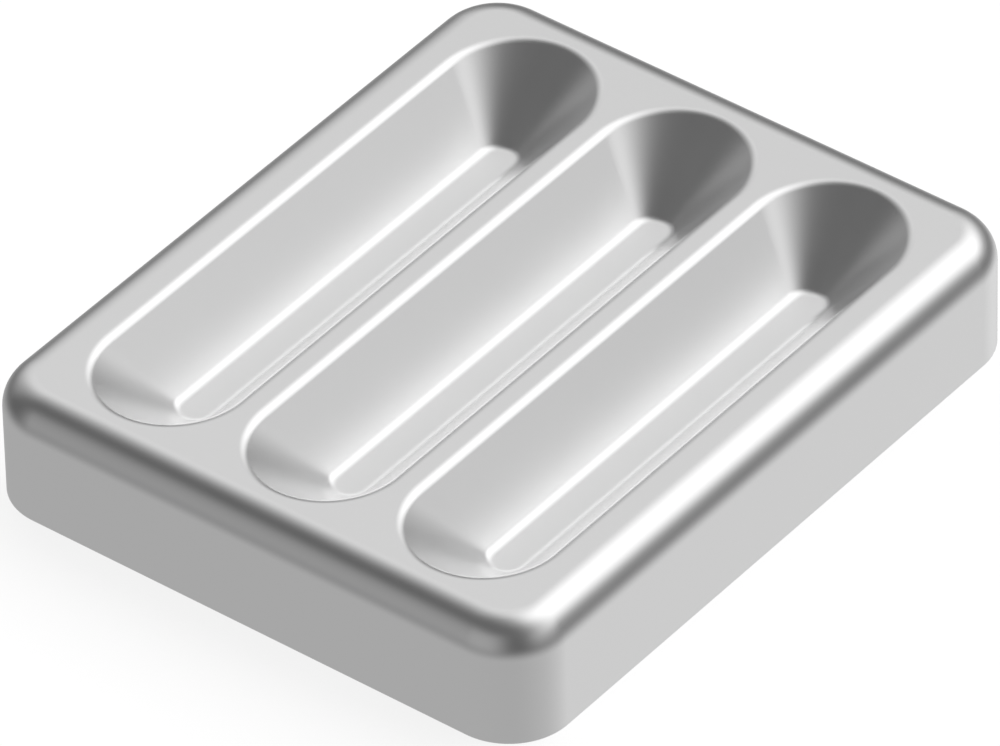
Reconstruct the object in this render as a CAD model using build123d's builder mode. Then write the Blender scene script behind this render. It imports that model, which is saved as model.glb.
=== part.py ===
from build123d import *
from math import atan2, cos, sin, tan
import os

# Instrument tray: one metal shell with three scooped pockets, open underneath.
# Millimetres. X runs across the pockets, Y along them, +Z up.
# The origin is the centre of the foot, on the surface the tray stands on.

# Body
tray_width = 145.8
tray_length = 175.6
tray_height = 30.0
corner_radius = 15.0
top_edge_radius = 8.0
wall_thickness = 2.0

# Pockets, each measured to the sharp edges that the fillets round off
pocket_count = 3
pocket_depth = 15.0
side_margin = 13.5
end_margin = 10.65
land_width = 6.0
floor_width = 8.6
end_wall_run = 20.95
rim_radius = 3.3
floor_radius = 3.3

# Worked out from the sizes above
rim_width = (tray_width - 2 * side_margin - (pocket_count - 1) * land_width) / pocket_count
pocket_pitch = rim_width + land_width
floor_length = tray_length - 2 * end_margin - 2 * end_wall_run
floor_height = tray_height - pocket_depth

# Slopes of a pocket's walls, up from level
side_slope = atan2(pocket_depth, (rim_width - floor_width) / 2)
end_slope = atan2(pocket_depth, end_wall_run)

# Each end of a pocket is part of a right circular cone, point down, whose axis leans outwards.
# The lean lets it run into both side walls without an edge and fall at the end wall's slope.
cone_half_angle = atan2(cos(side_slope) * sin(end_slope), 1 - cos(side_slope) * cos(end_slope))
cone_slope = end_slope + cone_half_angle
tip_height = floor_height - floor_width / 2 * tan(side_slope)
tip_from_centre = floor_length / 2 - (floor_height - tip_height) / tan(end_slope)

# The plane through both lines where the cone touches the side walls, up from level
joint_slope = atan2(sin(cone_slope) * sin(side_slope) ** 2, cos(cone_slope))


def scoop(outset, edge_radius):
    """A pocket's form, with its walls and floor moved outwards by the outset."""
    tip_shift = outset / sin(cone_half_angle)
    tip_y = tip_from_centre - tip_shift * cos(cone_slope)
    tip_z = tip_height - tip_shift * sin(cone_slope)
    cone_axis = Axis((0, tip_y, tip_z), (0, cos(cone_slope), sin(cone_slope)))
    joint = Plane((0, tip_y, tip_z), (1, 0, 0), (0, sin(joint_slope), -cos(joint_slope)))
    floor = Plane.XY.offset(floor_height - outset)
    top = Plane.XY.offset(tray_height)
    half_width = (tray_height - tip_z) / tan(side_slope)
    cone_length = (tray_height - tip_z) / sin(end_slope)

    with BuildPart() as end:
        with BuildSketch(Plane(cone_axis.position, cone_axis.direction, (1, 0, 0))):
            with BuildLine():
                Polyline(
                    (0, 0),
                    (cone_length, 0),
                    (cone_length, cone_length * tan(cone_half_angle)),
                    close=True,
                )
            make_face()
        revolve(axis=cone_axis)
        split(bisect_by=joint, keep=Keep.TOP)
        split(bisect_by=top, keep=Keep.BOTTOM)
        split(bisect_by=floor, keep=Keep.TOP)

    with BuildPart() as form:
        with BuildSketch(Plane.XZ):
            with BuildLine():
                Polyline((0, tip_z), (half_width, tray_height), (-half_width, tray_height), close=True)
            make_face()
        extrude(amount=-tray_length / 2)
        split(bisect_by=joint, keep=Keep.BOTTOM)
        split(bisect_by=floor, keep=Keep.TOP)
        add(end.part)
        mirror(about=Plane.XZ)
        fillet(form.faces().sort_by(Axis.Z)[0].edges(), edge_radius)
    return form.part


# The pocket as the instruments see it, and the same form one wall further out
pocket = scoop(0, floor_radius)
pocket_underside = scoop(wall_thickness, floor_radius + wall_thickness)

# The open space under the tray, one wall in from every face above it
with BuildPart() as hollow:
    with BuildSketch():
        RectangleRounded(
            tray_width - 2 * wall_thickness,
            tray_length - 2 * wall_thickness,
            corner_radius - wall_thickness,
        )
    extrude(amount=tray_height - wall_thickness)
    fillet(hollow.faces().sort_by(Axis.Z)[-1].edges(), top_edge_radius - wall_thickness)
    with GridLocations(pocket_pitch, 0, pocket_count, 1):
        add(pocket_underside, mode=Mode.SUBTRACT)

# The tray
with BuildPart() as tray:
    with BuildSketch():
        RectangleRounded(tray_width, tray_length, corner_radius)
    extrude(amount=tray_height)
    fillet(tray.faces().sort_by(Axis.Z)[-1].edges(), top_edge_radius)
    with GridLocations(pocket_pitch, 0, pocket_count, 1):
        add(pocket, mode=Mode.SUBTRACT)
    rims = tray.faces().sort_by(Axis.Z)[-1].inner_wires()
    fillet([edge for rim in rims for edge in rim.edges()], rim_radius)
    add(hollow.part, mode=Mode.SUBTRACT)

tray.part.label = "tray"

os.makedirs("parts", exist_ok=True)
export_step(tray.part, "parts/tray.step")
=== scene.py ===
import math
from types import SimpleNamespace

import bpy
from mathutils import Matrix, Vector


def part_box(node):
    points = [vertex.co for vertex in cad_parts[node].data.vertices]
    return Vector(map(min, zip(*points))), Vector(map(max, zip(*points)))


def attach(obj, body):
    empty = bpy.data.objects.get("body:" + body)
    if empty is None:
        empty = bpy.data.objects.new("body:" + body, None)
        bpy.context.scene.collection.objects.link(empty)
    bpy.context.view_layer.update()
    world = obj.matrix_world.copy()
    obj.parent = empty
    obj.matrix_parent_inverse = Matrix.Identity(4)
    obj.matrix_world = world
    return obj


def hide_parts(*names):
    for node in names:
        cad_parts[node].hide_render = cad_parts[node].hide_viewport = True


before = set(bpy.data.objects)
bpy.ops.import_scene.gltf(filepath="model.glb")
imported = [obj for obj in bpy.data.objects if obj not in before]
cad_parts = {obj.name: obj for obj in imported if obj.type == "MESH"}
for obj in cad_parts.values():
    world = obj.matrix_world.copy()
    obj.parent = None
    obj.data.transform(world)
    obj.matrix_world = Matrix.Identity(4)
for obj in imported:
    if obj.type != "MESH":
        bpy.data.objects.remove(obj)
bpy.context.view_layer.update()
tray_low, tray_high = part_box("tray")

# Metres throughout. The tray's outer size comes from the frame, the rest is as in the solid.
SIZES = {
    "width": tray_high.x - tray_low.x,
    "length": tray_high.y - tray_low.y,
    "height": tray_high.z - tray_low.z,
    "corner radius": 0.015,
    "top edge radius": 0.008,
    "wall": 0.002,
    "pocket depth": 0.015,
    "side margin": 0.0135,
    "end margin": 0.01065,
    "land width": 0.006,
    "floor width": 0.0086,
    "end wall run": 0.02095,
    "rim radius": 0.0033,
    "floor radius": 0.0033,
}

# How finely the shell is divided
COUNTS = {
    "pockets": 3,
    "points in a pocket end": 65,
    "points in a corner": 33,
    "rows in a fillet": 13,
}

MERGE_DISTANCE = 1e-6
NORMAL_NAME = "true_normal"

WHITE = (1, 1, 1, 1)


class Wire:
    """A node's output that takes part in sums. Each sum adds the node that works it out."""

    def __init__(self, graph, socket):
        self.graph = graph
        self.socket = socket

    def output(self, name):
        """Another output of the same node."""
        return Wire(self.graph, find(self.socket.node.outputs, name))

    def __add__(self, other):
        return self.graph.calculate("ADD", self, other)

    def __sub__(self, other):
        return self.graph.calculate("SUBTRACT", self, other)

    def __mul__(self, other):
        return self.graph.calculate("MULTIPLY", self, other)

    def __truediv__(self, other):
        return self.graph.calculate("DIVIDE", self, other)

    def __radd__(self, other):
        return self.graph.calculate("ADD", other, self)

    def __rsub__(self, other):
        return self.graph.calculate("SUBTRACT", other, self)

    def __rmul__(self, other):
        return self.graph.calculate("MULTIPLY", other, self)

    def __rtruediv__(self, other):
        return self.graph.calculate("DIVIDE", other, self)

    def __neg__(self):
        return self.graph.calculate("MULTIPLY", self, -1)


def find(sockets, name):
    """The socket in use with that name or number."""
    if isinstance(name, int):
        return sockets[name]
    return next(s for s in sockets if s.enabled and s.name == name)


def is_vector(term):
    if isinstance(term, Wire):
        return term.socket.type in ("VECTOR", "RGBA")
    return isinstance(term, (tuple, Vector))


class Graph:
    """A node tree that is being built."""

    def __init__(self, tree):
        self.tree = tree

    def node(self, kind, sockets=None, **settings):
        """A new node: its settings are made first, then its sockets get their values or links."""
        made = self.tree.nodes.new(kind)
        for name, value in settings.items():
            setattr(made, name, value)
        for name, value in (sockets or {}).items():
            self.feed(find(made.inputs, name), value)
        outputs = [s for s in made.outputs if s.enabled]
        return Wire(self, outputs[0]) if outputs else made

    def feed(self, socket, value):
        if isinstance(value, list):
            for item in value:
                self.feed(socket, item)
        elif isinstance(value, Wire):
            self.tree.links.new(value.socket, socket)
        elif socket.type == "VECTOR" and isinstance(value, (int, float)):
            socket.default_value = (value, value, value)
        else:
            socket.default_value = value

    def calculate(self, operation, *terms):
        kind = "ShaderNodeVectorMath" if any(map(is_vector, terms)) else "ShaderNodeMath"
        return self.node(kind, dict(enumerate(terms)), operation=operation)

    def sin(self, angle):
        return self.calculate("SINE", angle)

    def cos(self, angle):
        return self.calculate("COSINE", angle)

    def tan(self, angle):
        return self.calculate("TANGENT", angle)

    def angle(self, rise, run):
        return self.calculate("ARCTAN2", rise, run)

    def clamp(self, value):
        return self.node("ShaderNodeClamp", {"Value": value})

    def ease(self, value, start, end):
        """From 0 at the start to 1 at the end, with no corner at either."""
        ends = {"Value": value, "From Min": start, "From Max": end}
        return self.node("ShaderNodeMapRange", ends, interpolation_type="SMOOTHSTEP")

    def vector(self, x, y, z):
        return self.node("ShaderNodeCombineXYZ", {"X": x, "Y": y, "Z": z})

    def between(self, start, end, share):
        return start + (end - start) * share


# The shell's surface, in Geometry Nodes


def strip(graph, columns, rows, surface):
    """A grid bent to a surface. surface(column, row share) gives each point and its normal."""
    grid = graph.node(
        "GeometryNodeMeshGrid",
        {"Size X": 1.0, "Size Y": 1.0, "Vertices X": columns, "Vertices Y": rows},
    )
    place = graph.node("GeometryNodeInputPosition")
    axes = graph.node("ShaderNodeSeparateXYZ", {"Vector": place})
    column = (axes.output("X") + 0.5) * (columns - 1)
    point, normal = surface(column, axes.output("Y") + 0.5)
    marked = graph.node(
        "GeometryNodeStoreNamedAttribute",
        {"Geometry": grid, "Name": NORMAL_NAME, "Value": normal},
        data_type="FLOAT_VECTOR",
        domain="CORNER",
    )
    return graph.node("GeometryNodeSetPosition", {"Geometry": marked, "Position": point})


def joined(graph, pieces):
    whole = graph.node("GeometryNodeJoinGeometry", {"Geometry": pieces})
    return graph.node(
        "GeometryNodeMergeByDistance", {"Geometry": whole, "Distance": MERGE_DISTANCE}
    )


def flipped(graph, mesh):
    return graph.node("GeometryNodeFlipFaces", {"Mesh": mesh})


def body_skin(graph, size):
    """The skirt, its foot and its rounded top edge, outside and inside, as one open band."""
    per_corner = size.points_in_a_corner
    columns = per_corner * 4 + 1
    quarter = math.pi / 2
    turn_radius = size.corner_radius - size.top_edge_radius
    turn_height = size.height - size.top_edge_radius
    centre_x = size.width / 2 - size.corner_radius
    centre_y = size.length / 2 - size.corner_radius
    inner_edge_radius = size.top_edge_radius - size.wall

    def around(column, out, height, normal_out, normal_up):
        """A point at a distance out from its corner's centre, and its normal."""
        corner = graph.calculate("FLOOR", (column + 0.5) / per_corner)
        angle = (corner + (column - corner * per_corner) / (per_corner - 1)) * quarter
        middle = (corner + 0.5) * quarter
        side_x = graph.calculate("SIGN", graph.cos(middle))
        side_y = graph.calculate("SIGN", graph.sin(middle))
        radial = graph.vector(graph.cos(angle), graph.sin(angle), 0)
        centre = graph.vector(centre_x * side_x, centre_y * side_y, height)
        return centre + radial * out, radial * normal_out + graph.vector(0, 0, normal_up)

    def edge(radius, facing):
        def surface(column, share):
            rise = share * quarter
            level, up = graph.cos(rise), graph.sin(rise)
            out = turn_radius + level * radius
            return around(column, out, turn_height + up * radius, level * facing, up * facing)

        return surface

    def side(out, facing):
        return lambda column, share: around(column, out, share * turn_height, facing, 0)

    def foot(column, share):
        inner = size.corner_radius - size.wall
        return around(column, inner + size.wall * share, 0, 0, -1)

    rows = size.rows_in_a_fillet
    outside = [
        strip(graph, columns, rows, edge(size.top_edge_radius, 1)),
        strip(graph, columns, 2, side(size.corner_radius, 1)),
        strip(graph, columns, 2, foot),
    ]
    inside = [
        strip(graph, columns, rows, edge(inner_edge_radius, -1)),
        strip(graph, columns, 2, side(size.corner_radius - size.wall, -1)),
    ]
    turned_over = graph.node("GeometryNodeJoinGeometry", {"Geometry": inside})
    return outside + [flipped(graph, turned_over)]


def pocket_slopes(graph, size):
    """The pocket's slopes and the right circular cone that each of its ends is part of."""
    rim_width = (
        size.width - size.side_margin * 2 - (size.pockets - 1) * size.land_width
    ) / size.pockets
    floor_height = size.height - size.pocket_depth
    floor_end = size.length / 2 - size.end_margin - size.end_wall_run
    side_slope = graph.angle(size.pocket_depth, (rim_width - size.floor_width) / 2)
    end_slope = graph.angle(size.pocket_depth, size.end_wall_run)
    side_cos = graph.cos(side_slope)
    half_angle = graph.angle(side_cos * graph.sin(end_slope), 1 - side_cos * graph.cos(end_slope))
    cone_slope = end_slope + half_angle
    tip_height = floor_height - size.floor_width / 2 * graph.tan(side_slope)
    return SimpleNamespace(
        pitch=rim_width + size.land_width,
        half_angle=half_angle,
        cone_slope=cone_slope,
        widest_turn=graph.angle(graph.sin(side_slope), side_cos * graph.cos(cone_slope)),
        tip_height=tip_height,
        tip_y=floor_end - (floor_height - tip_height) / graph.tan(end_slope),
    )


def pocket_skin(graph, size, slopes, outset, rim_radius, facing):
    """One pocket's surface, moved outwards by the outset. It is open at its rim."""
    per_end = size.points_in_a_pocket_end
    columns = per_end * 2 + 1
    top = size.height - outset
    floor = size.height - size.pocket_depth - outset
    floor_radius = size.floor_radius + outset
    cone_sin, cone_cos = graph.sin(slopes.half_angle), graph.cos(slopes.half_angle)
    lean_sin, lean_cos = graph.sin(slopes.cone_slope), graph.cos(slopes.cone_slope)
    tip_shift = outset / cone_sin
    tip = graph.vector(
        0, slopes.tip_y - tip_shift * lean_cos, slopes.tip_height - tip_shift * lean_sin
    )
    axis = graph.vector(0, lean_cos, lean_sin)
    across = graph.vector(0, lean_sin, -lean_cos)
    up = graph.vector(0, 0, 1)

    def height_of(vector):
        return graph.node("ShaderNodeSeparateXYZ", {"Vector": vector}).output("Z")

    def wall(turn):
        """The wall at a turn about the cone's axis: its fall line, outward normal and contacts."""
        ring = across * graph.cos(turn) + graph.vector(1, 0, 0) * graph.sin(turn)
        line = axis * cone_cos + ring * cone_sin
        outward = ring * cone_cos - axis * cone_sin
        step = line / height_of(line)
        drop = 1 + height_of(outward)
        rim = tip + step * (top - rim_radius * drop - height_of(tip))
        foot = tip + step * (floor + floor_radius * drop - height_of(tip))
        return outward, rim, foot

    fan_centre = wall(slopes.widest_turn)[2] * (0, 1, 0) + up * floor

    def loop(column):
        """The turn at a column of the loop, and the side of the tray that it is on."""
        back = graph.calculate("MINIMUM", column, per_end * 2 - 1 - column)
        share = graph.clamp(back / (per_end - 1))
        near = graph.calculate("GREATER_THAN", column, per_end - 0.5)
        last = graph.calculate("GREATER_THAN", column, per_end * 2 - 0.5)
        end = 1 - (near - last) * 2
        return (share * 2 - 1) * slopes.widest_turn, graph.vector(1, end, 1)

    def turned(inward, share):
        """From straight up towards the wall's normal."""
        whole = graph.calculate("ARCCOSINE", height_of(inward))
        part = up * graph.sin((1 - share) * whole) + inward * graph.sin(share * whole)
        return part / graph.sin(whole)

    def surface(shape):
        def placed(column, share):
            turn, mirror = loop(column)
            point, normal = shape(*wall(turn), share)
            return point * mirror, normal * mirror * facing

        return placed

    def rim_fillet(outward, rim, foot, share):
        normal = turned(-outward, share)
        return rim + (outward + normal) * rim_radius, normal

    def wall_face(outward, rim, foot, share):
        return graph.between(rim, foot, share), -outward

    def floor_fillet(outward, rim, foot, share):
        normal = turned(-outward, 1 - share)
        return foot - (outward + normal) * floor_radius, normal

    def floor_face(outward, rim, foot, share):
        edge = foot - (outward + up) * floor_radius
        return graph.between(edge, fan_centre, share), up

    rows = size.rows_in_a_fillet
    skin = [
        strip(graph, columns, 2, surface(wall_face)),
        strip(graph, columns, rows, surface(floor_fillet)),
        strip(graph, columns, 2, surface(floor_face)),
    ]
    if facing > 0:
        skin.append(strip(graph, columns, rows, surface(rim_fillet)))
    whole = graph.node("GeometryNodeJoinGeometry", {"Geometry": skin})
    return flipped(graph, whole) if facing > 0 else whole


def in_a_row(graph, mesh, count, pitch):
    """Copies of a mesh side by side along X, with the row's middle at the origin."""
    line = graph.node(
        "GeometryNodeMeshLine",
        {
            "Count": count,
            "Start Location": graph.vector((count - 1) * pitch * -0.5, 0, 0),
            "Offset": graph.vector(pitch, 0, 0),
        },
        mode="OFFSET",
    )
    copies = graph.node("GeometryNodeInstanceOnPoints", {"Points": line, "Instance": mesh})
    return graph.node("GeometryNodeRealizeInstances", {"Geometry": copies})


def flat_between_loops(graph, mesh, height, facing):
    """The flat face that fills the open loops of a mesh at one height."""
    place = graph.node("GeometryNodeInputPosition")
    axes = graph.node("ShaderNodeSeparateXYZ", {"Vector": place})
    away = graph.calculate("ABSOLUTE", axes.output("Z") - height)
    level = graph.calculate("LESS_THAN", away, MERGE_DISTANCE)
    # An open edge belongs to one face, and every other edge to two
    neighbours = graph.node("GeometryNodeInputMeshEdgeNeighbors")
    is_open = graph.calculate("LESS_THAN", neighbours, 1.5)
    loops = graph.node("GeometryNodeMeshToCurve", {"Mesh": mesh, "Selection": is_open * level})
    face = graph.node("GeometryNodeFillCurve", {"Curve": loops}, mode="TRIANGLES")
    raised = graph.node(
        "GeometryNodeSetPosition", {"Geometry": face, "Offset": graph.vector(0, 0, height)}
    )
    marked = graph.node(
        "GeometryNodeStoreNamedAttribute",
        {"Geometry": raised, "Name": NORMAL_NAME, "Value": (0, 0, facing)},
        data_type="FLOAT_VECTOR",
        domain="CORNER",
    )
    return marked if facing > 0 else flipped(graph, marked)


def shell_tree(material):
    """The node tree that makes the whole tray from its sizes."""
    tree = bpy.data.node_groups.new("tray shell", "GeometryNodeTree")
    for name, value in (SIZES | COUNTS).items():
        kind = "NodeSocketInt" if isinstance(value, int) else "NodeSocketFloat"
        tree.interface.new_socket(name, in_out="INPUT", socket_type=kind)
    tree.interface.new_socket("Geometry", in_out="OUTPUT", socket_type="NodeSocketGeometry")
    graph = Graph(tree)
    given = graph.node("NodeGroupInput")
    size = SimpleNamespace(**{n.replace(" ", "_"): given.output(n) for n in SIZES | COUNTS})
    slopes = pocket_slopes(graph, size)

    above = pocket_skin(graph, size, slopes, 0, size.rim_radius, 1)
    below = pocket_skin(graph, size, slopes, size.wall, 0, -1)
    pockets = [in_a_row(graph, skin, size.pockets, slopes.pitch) for skin in (above, below)]
    banded = joined(graph, body_skin(graph, size) + pockets)
    top = flat_between_loops(graph, banded, size.height, 1)
    underside = flat_between_loops(graph, banded, size.height - size.wall, -1)
    closed = joined(graph, [banded, top, underside])

    smooth = graph.node("GeometryNodeSetShadeSmooth", {"Geometry": closed, "Shade Smooth": True})
    true_normal = graph.node(
        "GeometryNodeInputNamedAttribute", {"Name": NORMAL_NAME}, data_type="FLOAT_VECTOR"
    )
    shaded = graph.node(
        "GeometryNodeSetMeshNormal",
        {"Mesh": smooth, "Custom Normal": true_normal},
        mode="FREE",
        domain="CORNER",
    )
    clean = graph.node("GeometryNodeRemoveAttribute", {"Geometry": shaded, "Name": NORMAL_NAME})
    real = graph.node("GeometryNodeRealizeInstances", {"Geometry": clean})
    finished = graph.node("GeometryNodeSetMaterial", {"Geometry": real, "Material": material})
    graph.node("NodeGroupOutput", {"Geometry": finished})
    return tree


def made_by_nodes(name, tree, values):
    """A plain mesh object made by a node tree from its named inputs."""
    holder = bpy.data.objects.new(name + "_maker", bpy.data.meshes.new(name + "_start"))
    bpy.context.scene.collection.objects.link(holder)
    modifier = holder.modifiers.new("shape", "NODES")
    modifier.node_group = tree
    for item in tree.interface.items_tree:
        if item.in_out == "INPUT" and item.name in values:
            modifier[item.identifier] = values[item.name]
    depsgraph = bpy.context.evaluated_depsgraph_get()
    mesh = bpy.data.meshes.new_from_object(holder.evaluated_get(depsgraph))
    mesh.name = name
    # Set Material leaves an empty slot in front of its own
    mesh.materials.pop(index=0)
    holder.modifiers.remove(modifier)
    bpy.data.objects.remove(holder)
    piece = bpy.data.objects.new(name, mesh)
    bpy.context.scene.collection.objects.link(piece)
    return piece


# Materials


def new_graph(name):
    """An empty material and the graph that fills it."""
    material = bpy.data.materials.new(name)
    material.use_nodes = True
    material.node_tree.nodes.clear()
    return material, Graph(material.node_tree)


DARKER_METAL = (0.96, 0.96, 0.961, 1)
BRIGHTER_METAL = (0.98, 0.98, 0.979, 1)
METAL_ROUGHNESS = 0.29
CLOUDS_PER_METRE = 55.0
CLOUD_DETAIL = 3.0
CLOUD_ROUGHNESS = 0.05
GRAINS_PER_METRE = 2600.0
GRAIN_DETAIL = 2.0
GRAIN_ROUGHNESS = 0.03
GRAIN_STRENGTH = 0.06
GRAIN_DEPTH = 0.00003


def satin_metal():
    """Fine-blasted aluminium: even grey, with a faint grain and cloudy gloss."""
    material, graph = new_graph("satin metal")
    place = graph.node("ShaderNodeTexCoord").output("Object")
    clouds = graph.node(
        "ShaderNodeTexNoise",
        {"Vector": place, "Scale": CLOUDS_PER_METRE, "Detail": CLOUD_DETAIL},
    )
    grain = graph.node(
        "ShaderNodeTexNoise",
        {"Vector": place, "Scale": GRAINS_PER_METRE, "Detail": GRAIN_DETAIL},
    )
    tone = graph.node(
        "ShaderNodeMix",
        {"Factor": clouds, "A": DARKER_METAL, "B": BRIGHTER_METAL},
        data_type="RGBA",
    )
    roughness = METAL_ROUGHNESS + clouds * CLOUD_ROUGHNESS + grain * GRAIN_ROUGHNESS
    relief = graph.node(
        "ShaderNodeBump", {"Strength": GRAIN_STRENGTH, "Distance": GRAIN_DEPTH, "Height": grain}
    )
    surface = graph.node(
        "ShaderNodeBsdfPrincipled",
        {"Base Color": tone, "Metallic": 1.0, "Roughness": roughness, "Normal": relief},
    )
    graph.node("ShaderNodeOutputMaterial", {"Surface": surface})
    return material


def make_tray():
    """The shell in satin metal, in place of the solid."""
    piece = made_by_nodes("tray_shell", shell_tree(satin_metal()), SIZES | COUNTS)
    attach(piece, "root")
    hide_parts("tray")
    return piece


# The studio

# The floor object: its reach in metres, its grey, and the white that the camera sees added to it
FLOOR_REACH = 12.0
FLOOR_GREY = (0.5, 0.5, 0.5, 1)
FLOOR_WHITENESS = 0.8

# Brightness of the studio as the metal shows it, where 1 is white paper.
# Azimuths run from +Y towards +X, elevations from level, both in degrees.
# A pair of elevations says where a light is nothing, and then where it is full.
WALLS = 0.093
FLOOR = 0.422
FLOOR_EDGE = (0, -34)
FLOOR_GLOWS = {
    "behind": {"azimuth": 4, "half width": 0, "fade": 86, "strength": 0.356},
    "right": {"azimuth": 75, "half width": 0, "fade": 60, "strength": 0.06},
}
PANEL_SHAPES = {
    "key": {"azimuth": 18, "half width": 0, "fade": 100, "foot": (12, 40), "head": (89, 68)},
    "left": {"azimuth": -68, "half width": 20, "fade": 16, "foot": (-15, 29), "head": (108, 55)},
    "left middle": {"azimuth": -62, "half width": 0, "fade": 25, "foot": (0, 25), "head": (65, 45)},
    "front": {"azimuth": -173, "half width": 16, "fade": 36, "foot": (-25, 6), "head": (55, 32)},
    "right": {"azimuth": 79, "half width": 9, "fade": 33, "foot": (-20, 17), "head": (46, 23)},
    "back": {"azimuth": 8, "half width": 22, "fade": 16, "foot": (-7, 24), "head": (47, 32)},
    "top": {"azimuth": 133, "half width": 45, "fade": 58, "foot": (72, 95), "head": (150, 120)},
}
PANEL_STRENGTHS = {
    "key": 1.21,
    "left": 0.22,
    "left middle": 0.31,
    "front": 0.27,
    "right": 0.26,
    "back": 0.225,
    "top": 0.2,
}


def floor_material():
    """Plain white that keeps the tray's shadow."""
    material, graph = new_graph("studio floor")
    path = graph.node("ShaderNodeLightPath")
    seen = graph.clamp(path.output("Is Camera Ray") + path.output("Is Transmission Ray"))
    paint = graph.node("ShaderNodeBsdfDiffuse", {"Color": FLOOR_GREY})
    glow = graph.node("ShaderNodeEmission", {"Color": WHITE, "Strength": seen * FLOOR_WHITENESS})
    both = graph.node("ShaderNodeAddShader", {0: paint, 1: glow})
    graph.node("ShaderNodeOutputMaterial", {"Surface": both})
    return material


def make_floor():
    """A wide floor for the shadow. In the metal, the world's lower half stands in for it."""
    far = FLOOR_REACH
    corners = [(-far, -far, 0), (far, -far, 0), (far, far, 0), (-far, far, 0)]
    mesh = bpy.data.meshes.new("floor")
    mesh.from_pydata(corners, [], [(0, 1, 2, 3)])
    mesh.materials.append(floor_material())
    floor = bpy.data.objects.new("floor", mesh)
    floor.visible_glossy = False
    bpy.context.scene.collection.objects.link(floor)


def beside(graph, azimuth, light):
    """1 across a light's half width, and down to 0 over its fade."""
    turn = graph.calculate("WRAP", azimuth - light["azimuth"], 180, -180)
    away = graph.calculate("ABSOLUTE", turn)
    return graph.ease(away, light["half width"] + light["fade"], light["half width"])


def light_world():
    """Soft panels round a grey studio over a pale floor. The camera sees plain white."""
    world = bpy.data.worlds.new("studio")
    world.use_nodes = True
    world.node_tree.nodes.clear()
    bpy.context.scene.world = world
    graph = Graph(world.node_tree)
    way = graph.node("ShaderNodeTexCoord").output("Generated")
    axes = graph.node("ShaderNodeSeparateXYZ", {"Vector": way})
    azimuth = graph.calculate("DEGREES", graph.angle(axes.output("X"), axes.output("Y")))
    elevation = graph.calculate("DEGREES", graph.calculate("ARCSINE", axes.output("Z")))

    room = WALLS
    for name, shape in PANEL_SHAPES.items():
        height = graph.ease(elevation, *shape["foot"]) * graph.ease(elevation, *shape["head"])
        room = room + beside(graph, azimuth, shape) * height * PANEL_STRENGTHS[name]
    ground = FLOOR
    for glow in FLOOR_GLOWS.values():
        ground = ground + beside(graph, azimuth, glow) * glow["strength"]
    below = graph.ease(elevation, *FLOOR_EDGE)
    strength = graph.between(room, ground, below)

    path = graph.node("ShaderNodeLightPath")
    light = graph.node("ShaderNodeBackground", {"Color": WHITE, "Strength": strength})
    white = graph.node("ShaderNodeBackground", {"Color": WHITE, "Strength": 1.0})
    both = graph.node(
        "ShaderNodeMixShader", {0: path.output("Is Camera Ray"), 1: light, 2: white}
    )
    graph.node("ShaderNodeOutputWorld", {"Surface": both})


# The camera, solved from the tray's outline in the photograph

AZIMUTH = math.radians(38.663)
ELEVATION = math.radians(39.416)
ROLL = math.radians(-1.410)
LENS_PIXELS = 14105.85
PIXELS_PER_WIDTH = 687.99
IMAGE_WIDTH = 1000
IMAGE_HEIGHT = 746
SENSOR_WIDTH_MM = 36.0
TARGET_PIXEL = Vector((503.25, 356.51))


def make_camera():
    """A long lens that puts the tray's middle and outline where the photograph has them."""
    back = Vector(
        (
            math.sin(AZIMUTH) * math.cos(ELEVATION),
            -math.cos(AZIMUTH) * math.cos(ELEVATION),
            math.sin(ELEVATION),
        )
    )
    level = Vector((math.cos(AZIMUTH), math.sin(AZIMUTH), 0))
    rise = back.cross(level)
    right = level * math.cos(ROLL) + rise * math.sin(ROLL)
    up = back.cross(right)
    distance = LENS_PIXELS / PIXELS_PER_WIDTH * SIZES["width"]
    metres_per_pixel = distance / LENS_PIXELS
    aside = (TARGET_PIXEL.x - IMAGE_WIDTH / 2) * metres_per_pixel
    above = (IMAGE_HEIGHT / 2 - TARGET_PIXEL.y) * metres_per_pixel
    middle = Vector((0, 0, SIZES["height"] / 2))
    data = bpy.data.cameras.new("camera")
    data.sensor_width = SENSOR_WIDTH_MM
    data.lens = LENS_PIXELS / IMAGE_WIDTH * SENSOR_WIDTH_MM
    camera = bpy.data.objects.new("camera", data)
    turn = Matrix((right, up, back)).transposed().to_4x4()
    place = middle - right * aside - up * above + back * distance
    camera.matrix_world = Matrix.Translation(place) @ turn
    bpy.context.scene.collection.objects.link(camera)
    bpy.context.scene.camera = camera


make_tray()
make_floor()
light_world()
make_camera()
bpy.context.scene.view_settings.view_transform = "Standard"
